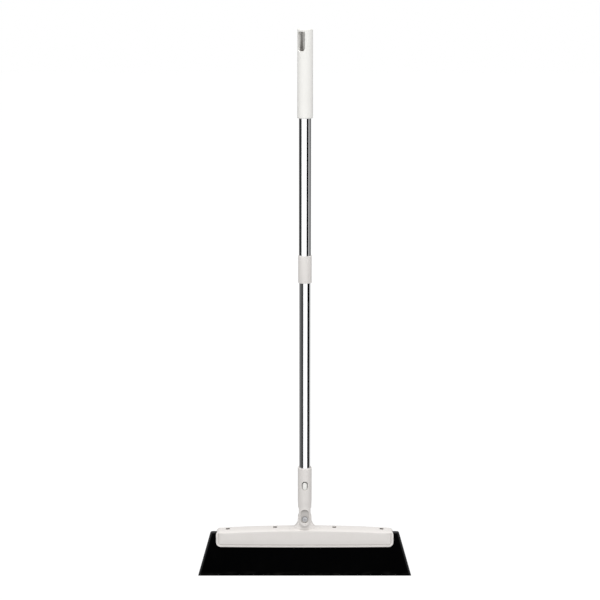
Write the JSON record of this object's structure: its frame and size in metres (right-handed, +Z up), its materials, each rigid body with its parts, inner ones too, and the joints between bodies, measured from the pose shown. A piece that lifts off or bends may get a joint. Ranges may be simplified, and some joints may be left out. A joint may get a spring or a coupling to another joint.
{
  "type": "rubber blade floor sweeper",
  "caption": "Long-handled floor sweeper: telescopic twist-lock pole with a hang-slot grip, a tilting plastic head and a wide rubber blade.",
  "frame": {"origin": "on the pole's axis, at the height of the blade's lower edge", "axes": "+Z up the pole to the grip, -Y is the front with the release button, X runs along the blade"},
  "size_m": [0.471, 0.032, 1.181],
  "materials": {
    "white_plastic": "fine satin, bright white",
    "warm_white_plastic": "fine satin, warm off-white",
    "inner_plastic": "unpainted light grey moulding",
    "chrome_tube": "polished, faintly brushed along the tube",
    "steel_parts": "zinc plated",
    "black_rubber": "matt black moulded rubber"
  },
  "bodies": {
    "upper_pole": {"handle_grip": "white_plastic", "grip_plug": "inner_plastic", "upper_tube": "chrome_tube", "lock_collar": "warm_white_plastic", "guide_ring": "inner_plastic"},
    "lock_bush": {"expander_bush": "inner_plastic"},
    "lock_cone": {"expander_cone": "inner_plastic"},
    "lower_pole": {"lock_plug": "inner_plastic", "lock_stud": "steel_parts", "stud_nut": "steel_parts", "lower_tube": "chrome_tube", "snap_plug": "inner_plastic", "button_spring": "steel_parts", "neck_socket": "warm_white_plastic", "pivot_screw": "steel_parts", "pivot_nut": "steel_parts", "pivot_washers": "steel_parts"},
    "button": {"release_button": "white_plastic"},
    "head": {"rear_shell": "warm_white_plastic", "front_shell": "warm_white_plastic", "stiffener_bar": "steel_parts", "blade": "black_rubber", "clamp_screws": "steel_parts"}
  },
  "joints": [
    {"name": "pole_slide", "type": "slide", "parent": "upper_pole", "child": "lock_bush", "axis": [0, 0, 1], "range_m": [0, 0.33]},
    {"name": "pole_twist", "type": "hinge", "parent": "lock_bush", "child": "lower_pole", "pos_m": [0, 0, 0.7], "axis": [0, 0, 1], "range_deg": [0, 270]},
    {"name": "cone_travel", "type": "slide", "parent": "lock_bush", "child": "lock_cone", "axis": [0, 0, 1], "range_m": [0, 0.00226]},
    {"name": "button_press", "type": "slide", "parent": "lower_pole", "child": "button", "axis": [0, 1, 0], "range_m": [0, 0.003], "stiffness_N_per_m": 800, "springref_m": -0.001, "deforming": ["button_spring"]},
    {"name": "head_pivot", "type": "hinge", "parent": "lower_pole", "child": "head", "pos_m": [0, 0, 0.1374], "axis": [0, 1, 0], "range_deg": [-90, 90]}
  ],
  "couplings": [
    {"joint": "cone_travel", "follows": "pole_twist", "m_per_rad": 0.00047746}
  ]
}
